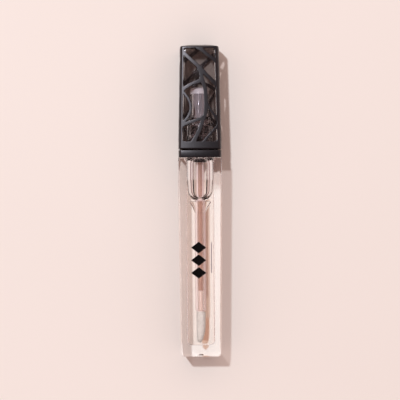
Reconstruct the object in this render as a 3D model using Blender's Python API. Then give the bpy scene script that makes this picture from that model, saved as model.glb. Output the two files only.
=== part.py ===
"""Lip gloss tube with a lattice over-cap, standing upright on its base.

The origin is the centre of the base, +Z runs up the tube and -Y is the front face. Lengths below are in
millimetres and are turned into metres where each mesh is made. The square bottle, its collar and the cap
share one axis, which is also the axis that the cap unscrews about and the wand lifts along.
"""

import math

import bmesh
import bpy
from mathutils import Vector

MM = 0.001

# Square outside: half widths and corner radius
BASE_HALF = 7.70
HEEL_HALF = 8.02
HEEL_TOP = 7.0
SHOULDER_HALF = 8.65
CAP_TOP_HALF = 7.80
CORNER_R = 1.1
CORNER_STEPS = 6

# Bottle: a thick clear block with a round cavity and a conical mouth
BOTTLE_TOP = 78.85
CAVITY_R = 5.6
CAVITY_FLOOR = 4.4
MOUTH_R = 6.7
MOUTH_DEPTH = 2.1
ROUND_STEPS = 64

# Gloss: flat top with a dip around the wand
GLOSS_GAP = 0.05
GLOSS_TOP = 62.0
GLOSS_WELL_R = 2.42
GLOSS_DIP = 4.0

# Neck collar: square ring, threaded neck above it, conical plug below it
COLLAR_BOTTOM = 78.9
COLLAR_TOP = 81.8
NECK_ROOT_R = 3.8
NECK_BORE_R = 3.2
NECK_TOP = 91.4
THREAD_PITCH = 2.6
THREAD_TURNS = 2.25
NECK_CREST_R = 4.25
THREAD_START = 84.5
THREAD_ROOTING = 0.22
THREAD_FOOT = 1.04
THREAD_CREST = 0.36

# Wiper pressed into the neck
WIPER_R = 3.17
WIPER_LIP_R = 2.35
WIPER_BOTTOM = 80.2

# Wand: hollow stem on a plug, flocked tip on a peg
STEM_R = 2.3
STEM_BORE_R = 1.38
STEM_TOP = 92.45
STEM_BOTTOM = 17.9
PEG_R = 1.34
PEG_TOP = 26.0
TIP_END = 5.3
PLUG_R = 2.6
PLUG_TOP = 104.3
PLUG_FLANGE_R = 3.95

# Inner cap: flange inside the band, threaded skirt, narrow closed tower
INNER_CREST_R = 4.33
INNER_BORE_R = 4.72
SKIRT_R = 5.25
TOWER_R = 4.0
TOWER_TOP = 106.8
FLANGE_HALF = 7.2

# Lattice over-cap
CAP_BOTTOM = 82.3
LATTICE_BOTTOM = 85.2
FLANGE_TOP = LATTICE_BOTTOM - 0.3
LATTICE_TOP = 122.2
CAP_CORNER_TOP = 123.0
CAP_CROWN = 123.9
CAP_WALL = 1.3
SLEEVE_GAP = 0.06
SLEEVE_WALL = 0.5
SLEEVE_ROOF = 0.6
SLEEVE_CORNER_R = 0.95
SLEEVE_EDGE = 0.3
SLEEVE_TOP = 122.2
LATTICE_HALF_LOW = 6.85
LATTICE_HALF_HIGH = 6.15
WINDOW_CORNER_R = 0.9
BAR_FLARE = 0.5
BAR_FLARE_LENGTH = 1.8
PRISM_FRONT = -9.6
PRISM_BACK = -5.6

# Centre lines of the lattice bars on one face (sideways, height) and each bar's width
BARS = {
    "long_diagonal": (1.35, [(-7.6, 121.7), (-6.4, 120.5), (-3.7, 117.9), (0.2, 114.4), (2.2, 112.2),
                             (4.15, 110.2), (6.1, 108.4), (7.5, 107.2)]),
    "top_diagonal": (1.25, [(-0.6, 122.8), (0.7, 121.7), (3.0, 119.7), (5.5, 117.9), (7.35, 116.6)]),
    "spine": (1.4, [(0.0, 114.8), (0.6, 112.6), (0.9, 110.6), (1.45, 108.6), (2.25, 105.9),
                    (2.5, 103.1), (2.55, 100.3), (2.5, 98.0), (2.1, 95.6), (1.2, 93.4),
                    (-0.15, 89.7), (-2.15, 85.7), (-2.85, 84.2)]),
    "upper_branch": (1.15, [(1.4, 109.5), (0.2, 109.2), (-1.8, 108.5), (-3.8, 107.6), (-5.35, 106.7),
                            (-6.55, 105.8), (-7.75, 104.6)]),
    "left_bow": (0.9, [(-7.95, 105.9), (-6.95, 105.1), (-5.8, 103.9), (-4.6, 102.3), (-3.8, 100.3),
                       (-3.55, 98.4), (-3.85, 96.6), (-4.85, 94.6), (-6.25, 93.1), (-7.8, 91.9)]),
    "lower_branch": (1.05, [(-7.8, 91.2), (-7.05, 91.6), (-5.45, 92.3), (-3.9, 92.8), (-1.9, 93.5),
                            (0.1, 94.1), (1.9, 95.0)]),
    "foot_brace": (0.85, [(1.1, 84.3), (1.75, 85.1), (2.8, 86.5), (4.0, 87.9), (5.6, 89.7), (7.2, 91.3),
                          (8.0, 92.1)]),
    "right_brace": (0.85, [(2.4, 100.5), (3.7, 98.6), (5.25, 96.4), (7.2, 93.8)]),
}


def clear_scene():
    for obj in list(bpy.data.objects):
        bpy.data.objects.remove(obj, do_unlink=True)


def material(name, colour, roughness, metallic=0.0):
    mat = bpy.data.materials.new(name)
    mat.use_nodes = True
    shader = mat.node_tree.nodes["Principled BSDF"]
    shader.inputs["Base Color"].default_value = (*colour, 1.0)
    shader.inputs["Roughness"].default_value = roughness
    shader.inputs["Metallic"].default_value = metallic
    mat.diffuse_color = (*colour, 1.0)
    return mat


def finish_object(name, bm, mat=None, smooth_angle=35.0):
    """Turn a bmesh in millimetres into an object in metres, with its faces pointing out."""
    bmesh.ops.remove_doubles(bm, verts=bm.verts, dist=1e-5)
    bmesh.ops.recalc_face_normals(bm, faces=bm.faces)
    if bm.calc_volume(signed=True) < 0:
        bmesh.ops.reverse_faces(bm, faces=bm.faces)
    bmesh.ops.scale(bm, vec=(MM, MM, MM), verts=bm.verts)
    mesh = bpy.data.meshes.new(name)
    bm.to_mesh(mesh)
    bm.free()
    obj = bpy.data.objects.new(name, mesh)
    bpy.context.scene.collection.objects.link(obj)
    if mat:
        mesh.materials.append(mat)
        mesh.shade_smooth()
        mesh.set_sharp_from_angle(angle=math.radians(smooth_angle))
    return obj


def as_cutter(obj):
    obj.hide_render = True
    obj.display_type = "WIRE"
    return obj


def add_boolean(obj, other, operation):
    mod = obj.modifiers.new(operation.title(), "BOOLEAN")
    mod.operation = operation
    mod.solver = "EXACT"
    mod.object = other
    return mod


def square_loop(half, radius, z, steps=CORNER_STEPS):
    """One rounded square, counter-clockwise seen from above."""
    points = []
    for quarter in range(4):
        mid = math.radians(45 + 90 * quarter)
        cx = (half - radius) * math.copysign(1, math.cos(mid))
        cy = (half - radius) * math.copysign(1, math.sin(mid))
        for k in range(steps + 1):
            a = math.radians(90 * quarter + 90 * k / steps)
            points.append((cx + radius * math.cos(a), cy + radius * math.sin(a), z))
    return points


def round_loop(radius, z, steps=ROUND_STEPS):
    """One circle, counter-clockwise seen from above."""
    return [
        (radius * math.cos(2 * math.pi * k / steps), radius * math.sin(2 * math.pi * k / steps), z)
        for k in range(steps)
    ]


def matched_round_loop(radius, z, steps=CORNER_STEPS):
    """A circle with as many points as a rounded square, so that the two can be bridged."""
    count = 4 * (steps + 1)
    turn = math.radians(45) / (steps + 1)
    angles = [2 * math.pi * k / count + turn for k in range(count)]
    return [(radius * math.cos(a), radius * math.sin(a), z) for a in angles]


def loft(name, loops, mat, ends="capped", smooth_angle=35.0):
    """Skin the loops in turn. The ends are capped, or joined to each other to leave a way through."""
    bm = bmesh.new()
    rings = [[bm.verts.new(p) for p in loop] for loop in loops]
    pairs = list(zip(rings, rings[1:]))
    if ends == "joined":
        pairs.append((rings[-1], rings[0]))
    for lower, upper in pairs:
        for k in range(len(lower)):
            n = (k + 1) % len(lower)
            bm.faces.new((lower[k], lower[n], upper[n], upper[k]))
    if ends == "capped":
        bm.faces.new(rings[0])
        bm.faces.new(rings[-1])
    return finish_object(name, bm, mat, smooth_angle)


def cup(name, outside, inside, mat):
    """A cup open below: one closed skin up the outside, and another up the inside, joined at the rim."""
    return loft(name, outside[::-1] + inside, mat, smooth_angle=30.0)


def lathe(name, profile, mat, steps=ROUND_STEPS, closed=True):
    """Spin (radius, height) pairs round the axis. An open profile starts and ends on the axis."""
    bm = bmesh.new()
    verts = [bm.verts.new((r, 0, z)) for r, z in profile]
    edges = [bm.edges.new(pair) for pair in zip(verts, verts[1:])]
    if closed:
        edges.append(bm.edges.new((verts[-1], verts[0])))
    bmesh.ops.spin(
        bm, geom=verts + edges, cent=(0, 0, 0), axis=(0, 0, 1), angle=2 * math.pi, steps=steps, use_merge=True
    )
    return finish_object(name, bm, mat)


def thread_rib(name, root_r, crest_r, start, turns=THREAD_TURNS, steps=36):
    """A helical rib rooted in the wall. Its crest lies outside the root on a neck and inside it in a cap."""
    buried = root_r - math.copysign(THREAD_ROOTING, crest_r - root_r)
    section = [
        (buried, -THREAD_FOOT / 2), (crest_r, -THREAD_CREST / 2),
        (crest_r, THREAD_CREST / 2), (buried, THREAD_FOOT / 2),
    ]
    bm = bmesh.new()
    face = bm.faces.new([bm.verts.new((r, 0, start + z)) for r, z in section])
    total = int(steps * turns)
    bmesh.ops.spin(
        bm, geom=[face, *face.edges, *face.verts], cent=(0, 0, 0), axis=(0, 0, 1),
        dvec=(0, 0, THREAD_PITCH / steps), angle=2 * math.pi * total / steps, steps=total,
    )
    return as_cutter(finish_object(name, bm))


def smooth_line(knots, pieces=4):
    """Catmull-Rom points through the knots."""
    pts = [Vector(p) for p in knots]
    pts = [2 * pts[0] - pts[1], *pts, 2 * pts[-1] - pts[-2]]
    out = []
    for i in range(1, len(pts) - 2):
        p0, p1, p2, p3 = pts[i - 1 : i + 3]
        for k in range(pieces):
            t = k / pieces
            out.append(
                0.5 * (2 * p1 + (p2 - p0) * t + (2 * p0 - 5 * p1 + 4 * p2 - p3) * t**2
                       + (3 * p1 - p0 - 3 * p2 + p3) * t**3)
            )
    out.append(pts[-2])
    return out


def wall_prism(name, outline):
    """A prism through the front wall, from its (sideways, height) outline."""
    bm = bmesh.new()
    face = bm.faces.new([bm.verts.new((x, PRISM_FRONT, z)) for x, z in outline])
    extruded = bmesh.ops.extrude_face_region(bm, geom=[face])["geom"]
    moved = [v for v in extruded if isinstance(v, bmesh.types.BMVert)]
    bmesh.ops.translate(bm, vec=(0, PRISM_BACK - PRISM_FRONT, 0), verts=moved)
    return as_cutter(finish_object(name, bm))


def bar_outline(width, knots):
    """The outline of a lattice bar, a little wider where it meets the frame."""
    line = smooth_line(knots)
    left, right = [], []
    for i, p in enumerate(line):
        along = (line[min(i + 1, len(line) - 1)] - line[max(i - 1, 0)]).normalized()
        side = Vector((-along.y, along.x))
        end = min((p - line[0]).length, (line[-1] - p).length)
        half = width / 2 * (1 + BAR_FLARE * math.exp(-((end / BAR_FLARE_LENGTH) ** 2)))
        left.append(p + side * half)
        right.append(p - side * half)
    return [tuple(p) for p in right + left[::-1]]


def window_outline(steps=4):
    """The outline of the opening in one wall, with rounded corners."""
    outline = []
    corners = [
        (LATTICE_HALF_HIGH, LATTICE_TOP, 0), (-LATTICE_HALF_HIGH, LATTICE_TOP, 90),
        (-LATTICE_HALF_LOW, LATTICE_BOTTOM, 180), (LATTICE_HALF_LOW, LATTICE_BOTTOM, 270),
    ]
    for x, z, start in corners:
        cx = x - math.copysign(WINDOW_CORNER_R, x)
        cz = z - (WINDOW_CORNER_R if start < 180 else -WINDOW_CORNER_R)
        for k in range(steps + 1):
            a = math.radians(start + 90 * k / steps)
            outline.append((cx + WINDOW_CORNER_R * math.cos(a), cz + WINDOW_CORNER_R * math.sin(a)))
    return outline


def build_bottle(mat):
    rim = 0.35
    outer = [
        square_loop(BASE_HALF - 0.6, CORNER_R - 0.4, 0.0),
        square_loop(BASE_HALF - 0.17, CORNER_R - 0.1, 0.2),
        square_loop(BASE_HALF, CORNER_R, 0.7),
        square_loop(HEEL_HALF, CORNER_R, HEEL_TOP),
        square_loop(SHOULDER_HALF, CORNER_R, 72.0),
        square_loop(SHOULDER_HALF, CORNER_R, BOTTLE_TOP - rim),
        square_loop(SHOULDER_HALF - rim, CORNER_R - 0.2, BOTTLE_TOP),
    ]
    bottle = loft("bottle", outer, mat)
    cavity = [(0, CAVITY_FLOOR), (CAVITY_R - 1.6, CAVITY_FLOOR)]
    for k in range(1, 5):
        a = math.radians(90 * k / 4)
        cavity.append((CAVITY_R - 1.6 + 1.6 * math.sin(a), CAVITY_FLOOR + 1.6 - 1.6 * math.cos(a)))
    cavity += [
        (CAVITY_R, BOTTLE_TOP - MOUTH_DEPTH),
        (MOUTH_R, BOTTLE_TOP),
        (MOUTH_R, BOTTLE_TOP + 1.0),
        (0, BOTTLE_TOP + 1.0),
    ]
    cutter = as_cutter(lathe("cavity_cutter", cavity, None, closed=False))
    add_boolean(bottle, cutter, "DIFFERENCE")
    return bottle


def build_gloss(mat):
    r = CAVITY_R - GLOSS_GAP
    floor = CAVITY_FLOOR + GLOSS_GAP
    profile = [(0, floor), (r - 1.6, floor)]
    for k in range(1, 5):
        a = math.radians(90 * k / 4)
        profile.append((r - 1.6 + 1.6 * math.sin(a), floor + 1.6 - 1.6 * math.cos(a)))
    profile += [
        (r, GLOSS_TOP + 1.2), (r - 0.35, GLOSS_TOP + 0.45), (r - 1.1, GLOSS_TOP),
        (4.1, GLOSS_TOP - 0.4), (GLOSS_WELL_R + 0.5, GLOSS_TOP - GLOSS_DIP + 0.6),
        (GLOSS_WELL_R, GLOSS_TOP - GLOSS_DIP), (GLOSS_WELL_R, TIP_END - 0.2), (0, TIP_END - 0.2),
    ]
    return lathe("gloss_fill", profile, mat, closed=False)


def build_collar(mat):
    ring = SHOULDER_HALF - 0.02
    plug_low = CAVITY_R - 0.4
    loops = [
        matched_round_loop(plug_low, BOTTLE_TOP - MOUTH_DEPTH + 0.05),
        matched_round_loop(MOUTH_R - 0.1, COLLAR_BOTTOM),
        square_loop(ring - 0.25, CORNER_R - 0.1, COLLAR_BOTTOM),
        square_loop(ring, CORNER_R, COLLAR_BOTTOM + 0.2),
        square_loop(ring, CORNER_R, COLLAR_TOP - 0.25),
        square_loop(ring - 0.25, CORNER_R - 0.1, COLLAR_TOP),
        matched_round_loop(NECK_ROOT_R + 0.3, COLLAR_TOP),
        matched_round_loop(NECK_ROOT_R, COLLAR_TOP + 0.3),
        matched_round_loop(NECK_ROOT_R, NECK_TOP - 0.25),
        matched_round_loop(NECK_ROOT_R - 0.25, NECK_TOP),
        matched_round_loop(NECK_BORE_R, NECK_TOP),
        matched_round_loop(NECK_BORE_R, BOTTLE_TOP - MOUTH_DEPTH + 0.05),
    ]
    collar = loft("neck_collar", loops, mat, ends="joined")
    add_boolean(collar, thread_rib("neck_thread_rib", NECK_ROOT_R, NECK_CREST_R, THREAD_START), "UNION")
    return collar


def build_wiper(mat):
    profile = [
        (WIPER_LIP_R, WIPER_BOTTOM), (WIPER_LIP_R + 0.35, WIPER_BOTTOM), (WIPER_R, WIPER_BOTTOM + 1.6),
        (WIPER_R, NECK_TOP + 0.02), (NECK_ROOT_R - 0.1, NECK_TOP + 0.02),
        (NECK_ROOT_R - 0.1, NECK_TOP + 0.45), (2.9, NECK_TOP + 0.45), (2.75, NECK_TOP - 0.2),
        (2.75, WIPER_BOTTOM + 2.4), (WIPER_LIP_R, WIPER_BOTTOM + 0.5),
    ]
    return lathe("wiper", profile, mat, steps=48)


def build_seal(mat):
    low, high = NECK_TOP + 0.5, NECK_TOP + 1.02
    profile = [(2.4, low), (3.7, low), (3.7, high), (2.4, high)]
    return lathe("neck_seal", profile, mat, steps=48)


def build_plug(mat):
    spigot_r, spigot_low, seat = STEM_BORE_R - 0.04, 84.0, STEM_TOP + 0.03
    profile = [
        (0, spigot_low), (spigot_r - 0.3, spigot_low), (spigot_r, spigot_low + 0.5), (spigot_r, seat),
        (PLUG_FLANGE_R, seat), (PLUG_FLANGE_R, seat + 1.1), (PLUG_R + 0.3, seat + 1.5),
        (PLUG_R, seat + 1.9), (PLUG_R, PLUG_TOP - 0.4), (PLUG_R - 0.4, PLUG_TOP), (0, PLUG_TOP),
    ]
    return lathe("wand_plug", profile, mat, steps=48, closed=False)


def build_stem(mat):
    profile = [
        (STEM_BORE_R, STEM_BOTTOM), (STEM_R - 0.15, STEM_BOTTOM), (STEM_R, STEM_BOTTOM + 0.25),
        (STEM_R, STEM_TOP), (STEM_BORE_R, STEM_TOP),
    ]
    return lathe("wand_stem", profile, mat, steps=48)


def tip_sections(margin, share=0.4):
    """Sections of the slanted tip as (height, left, right, depth), shrunk by a margin or a share of them."""
    rows = [(17.6, -2.05, 2.05, 2.05), (16.9, -2.1, 2.1, 2.1), (12.2, -2.1, 2.1, 2.1),
            (10.4, -2.1, 1.95, 2.0), (8.4, -2.05, 1.55, 1.85), (6.9, -1.9, 1.1, 1.6),
            (5.9, -1.6, 0.6, 1.2), (TIP_END, -1.0, 0.0, 0.55)]
    out = []
    for z, left, right, depth in rows:
        inner = min(margin, share * (right - left) / 2, share * depth)
        lift = margin if z < 8 else 0.0
        out.append((z + lift * (8 - z) / 2.7, left + inner, right - inner, depth - inner))
    return out


def tip_loop(z, left, right, depth, steps=32):
    cx, half = (left + right) / 2, (right - left) / 2
    return [
        (cx + half * math.cos(2 * math.pi * k / steps), depth * math.sin(2 * math.pi * k / steps), z)
        for k in range(steps)
    ]


def build_tip(mat_core, mat_flock):
    steps = 32
    core = [tip_loop(*s) for s in tip_sections(0.56, 0.55)][::-1]
    core += [
        round_loop(1.5, 17.62, steps), round_loop(1.5, STEM_BOTTOM - 0.03, steps),
        round_loop(PEG_R, STEM_BOTTOM - 0.03, steps), round_loop(PEG_R, PEG_TOP - 0.4, steps),
        round_loop(PEG_R - 0.35, PEG_TOP, steps),
    ]
    loft("tip_core", core, mat_core)
    outside = [tip_loop(*s) for s in tip_sections(0.0)][::-1]
    inside = [tip_loop(*s) for s in tip_sections(0.5)]
    # the outside runs up, and the inside runs back down to a closed floor
    loft("tip_flock", outside + inside, mat_flock)


def build_inner_cap(mat):
    flange_low, flange_high = CAP_BOTTOM + 0.3, FLANGE_TOP
    shoulder = STEM_TOP + 2.4
    outer = [
        square_loop(FLANGE_HALF, 1.0, flange_low),
        square_loop(FLANGE_HALF, 1.0, flange_high),
        matched_round_loop(SKIRT_R + 0.4, flange_high),
        matched_round_loop(SKIRT_R, flange_high + 0.4),
        matched_round_loop(SKIRT_R - 0.1, 91.6),
        matched_round_loop(4.9, 92.6),
        matched_round_loop(4.8, shoulder - 0.5),
        matched_round_loop(TOWER_R + 0.1, shoulder),
        matched_round_loop(TOWER_R, shoulder + 0.4),
        matched_round_loop(TOWER_R, TOWER_TOP - 1.3),
        matched_round_loop(TOWER_R - 0.35, TOWER_TOP - 0.5),
        matched_round_loop(TOWER_R - 1.2, TOWER_TOP - 0.1),
        matched_round_loop(1.0, TOWER_TOP),
    ]
    seat = STEM_TOP + 0.03
    inner = [
        matched_round_loop(INNER_BORE_R, flange_low),
        matched_round_loop(INNER_BORE_R, seat - 0.8),
        matched_round_loop(PLUG_FLANGE_R + 0.08, seat - 0.1),
        matched_round_loop(PLUG_FLANGE_R + 0.08, seat + 1.2),
        matched_round_loop(PLUG_R + 0.4, seat + 1.55),
        matched_round_loop(PLUG_R + 0.05, seat + 1.95),
        matched_round_loop(PLUG_R + 0.05, PLUG_TOP + 0.1),
        matched_round_loop(1.0, PLUG_TOP + 0.3),
    ]
    cap = cup("inner_cap", outer, inner, mat)
    rib = thread_rib("inner_thread_rib", INNER_BORE_R, INNER_CREST_R, THREAD_START + THREAD_PITCH / 2, 1.5)
    add_boolean(cap, rib, "UNION")
    return cap


def build_sleeve(mat):
    """The smoked square sleeve that lines the lattice, standing on the inner cap's flange."""
    low = FLANGE_TOP + SLEEVE_GAP
    half_low = SHOULDER_HALF - CAP_WALL - SLEEVE_GAP
    half_high = CAP_TOP_HALF - CAP_WALL - SLEEVE_GAP
    outer = [
        square_loop(half_low, SLEEVE_CORNER_R, low),
        square_loop(half_high, SLEEVE_CORNER_R, SLEEVE_TOP - SLEEVE_EDGE),
        square_loop(half_high - SLEEVE_EDGE, SLEEVE_CORNER_R - 0.25, SLEEVE_TOP),
    ]
    inner = [
        square_loop(half_low - SLEEVE_WALL, SLEEVE_CORNER_R - SLEEVE_WALL, low),
        square_loop(half_high - SLEEVE_WALL, SLEEVE_CORNER_R - SLEEVE_WALL, SLEEVE_TOP - SLEEVE_ROOF),
    ]
    return cup("smoked_sleeve", outer, inner, mat)


def build_cap_shell(mat):
    outer = [
        square_loop(SHOULDER_HALF - 0.25, CORNER_R - 0.1, CAP_BOTTOM),
        square_loop(SHOULDER_HALF, CORNER_R, CAP_BOTTOM + 0.25),
        square_loop(CAP_TOP_HALF, CORNER_R, CAP_CORNER_TOP - 0.7),
        square_loop(CAP_TOP_HALF - 0.12, CORNER_R, CAP_CORNER_TOP - 0.3),
        square_loop(CAP_TOP_HALF - 0.5, CORNER_R - 0.2, CAP_CORNER_TOP + 0.08),
        square_loop(CAP_TOP_HALF - 2.2, CORNER_R - 0.3, CAP_CROWN - 0.42),
        square_loop(CAP_TOP_HALF - 4.6, CORNER_R - 0.5, CAP_CROWN - 0.1),
        square_loop(CAP_TOP_HALF - 6.7, 0.5, CAP_CROWN),
    ]
    inner = [
        square_loop(SHOULDER_HALF - CAP_WALL, 1.0, CAP_BOTTOM),
        square_loop(SHOULDER_HALF - CAP_WALL, 1.0, LATTICE_BOTTOM),
        square_loop(CAP_TOP_HALF - CAP_WALL, 1.0, LATTICE_TOP + 0.1),
        square_loop(0.9, 0.4, CAP_CROWN - 1.5),
    ]
    shell = cup("cap_shell", outer, inner, mat)
    bars = [wall_prism(name, bar_outline(width, knots)) for name, (width, knots) in BARS.items()]
    for quarter in range(4):
        window = wall_prism(f"window_{quarter}", window_outline())
        window.rotation_euler.z = math.radians(90 * quarter)
        for bar in bars:
            if quarter:
                bar = bar.copy()
                bpy.context.scene.collection.objects.link(bar)
                bar.rotation_euler.z = math.radians(90 * quarter)
            add_boolean(window, bar, "DIFFERENCE")
        add_boolean(shell, window, "DIFFERENCE")
    return shell


def main():
    clear_scene()
    build_bottle(material("clear_petg", (0.93, 0.93, 0.92), 0.05))
    build_gloss(material("gloss", (0.93, 0.80, 0.76), 0.05))
    build_collar(material("charcoal_gloss", (0.03, 0.03, 0.033), 0.3))
    build_wiper(material("natural_ldpe", (0.85, 0.84, 0.82), 0.4))
    build_seal(material("white_foam", (0.9, 0.9, 0.88), 0.7))
    build_plug(material("grey_pp", (0.42, 0.40, 0.40), 0.35))
    build_stem(material("frosted_pp", (0.86, 0.80, 0.76), 0.35))
    build_tip(
        material("natural_pe", (0.88, 0.84, 0.80), 0.4),
        material("flock_fibre", (0.86, 0.82, 0.78), 0.95),
    )
    build_sleeve(material("smoked_sleeve", (0.05, 0.05, 0.055), 0.1))
    build_inner_cap(material("smoked_san", (0.35, 0.34, 0.35), 0.08))
    build_cap_shell(material("charcoal_satin", (0.04, 0.04, 0.045), 0.4))


main()
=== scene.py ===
"""Looks of the lip gloss tube: clear bottle, gloss, wand and lattice over-cap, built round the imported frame.

Lengths in the shapes are in millimetres and turn into metres where a mesh is made. The tube stands along +Z
with its printed face towards -Y. It is shown as if it lay on a pale surface and the camera looked straight
down, so the surface is an upright plane just behind the tube and the camera looks along +Y.
"""

import math
import random

import bmesh
import bpy
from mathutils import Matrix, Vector


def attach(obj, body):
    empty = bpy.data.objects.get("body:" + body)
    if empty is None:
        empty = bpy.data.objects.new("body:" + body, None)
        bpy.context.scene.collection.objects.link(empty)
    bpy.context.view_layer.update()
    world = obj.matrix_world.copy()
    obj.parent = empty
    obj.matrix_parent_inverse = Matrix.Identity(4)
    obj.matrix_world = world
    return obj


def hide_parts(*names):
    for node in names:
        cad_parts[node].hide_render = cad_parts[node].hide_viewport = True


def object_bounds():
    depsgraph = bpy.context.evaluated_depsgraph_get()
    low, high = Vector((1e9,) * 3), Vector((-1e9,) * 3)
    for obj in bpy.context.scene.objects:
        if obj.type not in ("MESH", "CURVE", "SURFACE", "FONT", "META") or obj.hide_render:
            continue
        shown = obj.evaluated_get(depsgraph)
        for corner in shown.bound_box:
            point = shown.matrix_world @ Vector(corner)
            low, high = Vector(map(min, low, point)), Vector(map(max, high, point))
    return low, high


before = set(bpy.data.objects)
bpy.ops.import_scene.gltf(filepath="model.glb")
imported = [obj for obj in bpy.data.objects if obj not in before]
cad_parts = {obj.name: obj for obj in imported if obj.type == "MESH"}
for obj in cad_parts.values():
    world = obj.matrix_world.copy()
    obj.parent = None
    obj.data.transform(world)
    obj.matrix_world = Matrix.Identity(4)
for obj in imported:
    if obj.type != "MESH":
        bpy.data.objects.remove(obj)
cad_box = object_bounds()

MM = 0.001
BOTTLE_BODY = "bottle_assembly"
SEAL_BODY = "seal_ring"
CAP_BODY = "cap_and_wand"

# Driving sizes, the same as the CAD part's
BASE_HALF = 7.70
HEEL_HALF = 8.02
HEEL_TOP = 7.0
TAPER_TOP = 72.0
SHOULDER_HALF = 8.65
CAP_TOP_HALF = 7.80
CORNER_R = 1.1
BOTTLE_TOP = 78.85
CAVITY_R = 5.6
CAVITY_FLOOR = 4.4
WELL_FILLET = 1.6
MOUTH_R = 6.7
MOUTH_DEPTH = 2.1
GLOSS_TOP = 62.0
FILM_TOP = 70.0
COLLAR_BOTTOM = 78.9
COLLAR_TOP = 81.8
NECK_ROOT_R = 3.8
NECK_BORE_R = 3.2
NECK_TOP = 91.4
NECK_CREST_R = 4.25
THREAD_PITCH = 2.6
THREAD_START = 84.5
WIPER_R = 3.17
WIPER_LIP_R = 2.35
WIPER_BOTTOM = 80.2
STEM_R = 2.3
STEM_BORE_R = 1.38
STEM_TOP = 92.45
STEM_BOTTOM = 17.9
PEG_R = 1.34
PEG_TOP = 26.0
TIP_END = 5.3
PLUG_R = 2.6
PLUG_TOP = 104.3
PLUG_FLANGE_R = 3.95
INNER_CREST_R = 4.33
INNER_BORE_R = 4.72
SKIRT_R = 5.25
TOWER_R = 4.0
TOWER_TOP = 106.8
FLANGE_HALF = 7.2
CAP_BOTTOM = 82.3
LATTICE_BOTTOM = 85.2
FLANGE_TOP = LATTICE_BOTTOM - 0.3
LATTICE_TOP = 122.2
CAP_CORNER_TOP = 123.0
CAP_CROWN = 123.9
CAP_WALL = 1.3
SLEEVE_GAP = 0.06
SLEEVE_WALL = 0.5
SLEEVE_CORNER_R = 0.95
SLEEVE_TOP = 122.2
LATTICE_HALF_LOW = 6.85
LATTICE_HALF_HIGH = 6.15
WINDOW_CORNER_R = 0.9

# The lattice's bars in one window: width, and the (sideways, height) points that the middle runs through
BARS = {
    "long_diagonal": (1.35, [(-7.6, 121.7), (-6.4, 120.5), (-3.7, 117.9), (0.2, 114.4), (2.2, 112.2),
                             (4.15, 110.2), (6.1, 108.4), (7.5, 107.2)]),
    "top_diagonal": (1.25, [(-0.6, 122.8), (0.7, 121.7), (3.0, 119.7), (5.5, 117.9), (7.35, 116.6)]),
    "spine": (1.4, [(0.0, 114.8), (0.6, 112.6), (0.9, 110.6), (1.45, 108.6), (2.25, 105.9),
                    (2.5, 103.1), (2.55, 100.3), (2.5, 98.0), (2.1, 95.6), (1.2, 93.4),
                    (-0.15, 89.7), (-2.15, 85.7), (-2.85, 84.2)]),
    "upper_branch": (1.15, [(1.4, 109.5), (0.2, 109.2), (-1.8, 108.5), (-3.8, 107.6), (-5.35, 106.7),
                            (-6.55, 105.8), (-7.75, 104.6)]),
    "left_bow": (0.9, [(-7.95, 105.9), (-6.95, 105.1), (-5.8, 103.9), (-4.6, 102.3), (-3.8, 100.3),
                       (-3.55, 98.4), (-3.85, 96.6), (-4.85, 94.6), (-6.25, 93.1), (-7.8, 91.9)]),
    "lower_branch": (1.05, [(-7.8, 91.2), (-7.05, 91.6), (-5.45, 92.3), (-3.9, 92.8), (-1.9, 93.5),
                            (0.1, 94.1), (1.9, 95.0)]),
    "foot_brace": (0.85, [(1.1, 84.3), (1.75, 85.1), (2.8, 86.5), (4.0, 87.9), (5.6, 89.7), (7.2, 91.3),
                          (8.0, 92.1)]),
    "right_brace": (0.85, [(2.4, 100.5), (3.7, 98.6), (5.25, 96.4), (7.2, 93.8)]),
}

# What the rounding of its edges takes off a bar's width, and how its ends flare where they meet the frame
BAR_GROWTH = 0.12
FLARE = 0.5
FLARE_LENGTH = 1.8

# Sections of the slanted tip from the top down: height, left edge, right edge, half depth
TIP_ROWS = [
    (17.6, -2.05, 2.05, 2.05), (16.9, -2.1, 2.1, 2.1), (12.2, -2.1, 2.1, 2.1), (10.4, -2.1, 1.95, 2.0),
    (8.4, -2.05, 1.55, 1.85), (6.9, -1.9, 1.1, 1.6), (5.9, -1.6, 0.6, 1.2), (TIP_END, -1.0, 0.0, 0.55),
]
FIBRES = 5200

# Points along each flat side and round each corner of a square loop
FLAT_POINTS = 14
CORNER_STEPS = 18

# How far the moulded sides of collar and over-cap stand out in their middle
SIDE_BOW = 0.28

# Edges that turn by more than this, in degrees, stay sharp on the threaded mouldings
MOULDED_SHARP = 38.0

# The printed motif: lozenges up the front face and a hairline beside them
LOZENGES = 3
LOZENGE_PITCH = 5.0
LOZENGE_X = -0.75
LOZENGE_Z = 33.2
LOZENGE_HALF_WIDE = 3.0
LOZENGE_HALF_HIGH = 2.3
HAIRLINE_X = (4.1, 4.5)
HAIRLINE_Z = (33.2, 45.2)
PRINT_LIFT = 0.012
PRINT_THICK = 0.03

# Refractive indices: each surface bends light between the two things it parts
PETG_IOR = 1.57
SAN_IOR = 1.57
GLOSS_IOR = 1.49
STEM_IOR = 1.52
SLEEVE_IOR = 1.5

# A face whose normal leans less than this towards an axis belongs to another side
SIDE_LIMIT = 0.6

# The darkest and lightest patches of the charcoal plastic
CHARCOAL = ((0.0035, 0.0032, 0.004), (0.006, 0.0055, 0.007))

# What one face of the sleeve leaves of the light that crosses it. Its darkness is partly the sleeve's own
# smoke and partly painted shade for the inside of the cap.
SLEEVE_TINT = (0.75, 0.735, 0.74)

# The room's light by direction: 0 is straight out in front of the tube, 0.5 along the surface, 1 behind it
ROOM_LIGHT = [(0.0, 0.16), (0.035, 0.16), (0.10, 1.0), (0.25, 0.96), (0.40, 0.44), (0.50, 0.44), (0.62, 0.85)]
ROOM_COLOUR = (1.0, 0.658, 0.632, 1.0)
ROOM_STRENGTH = 0.92

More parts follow.
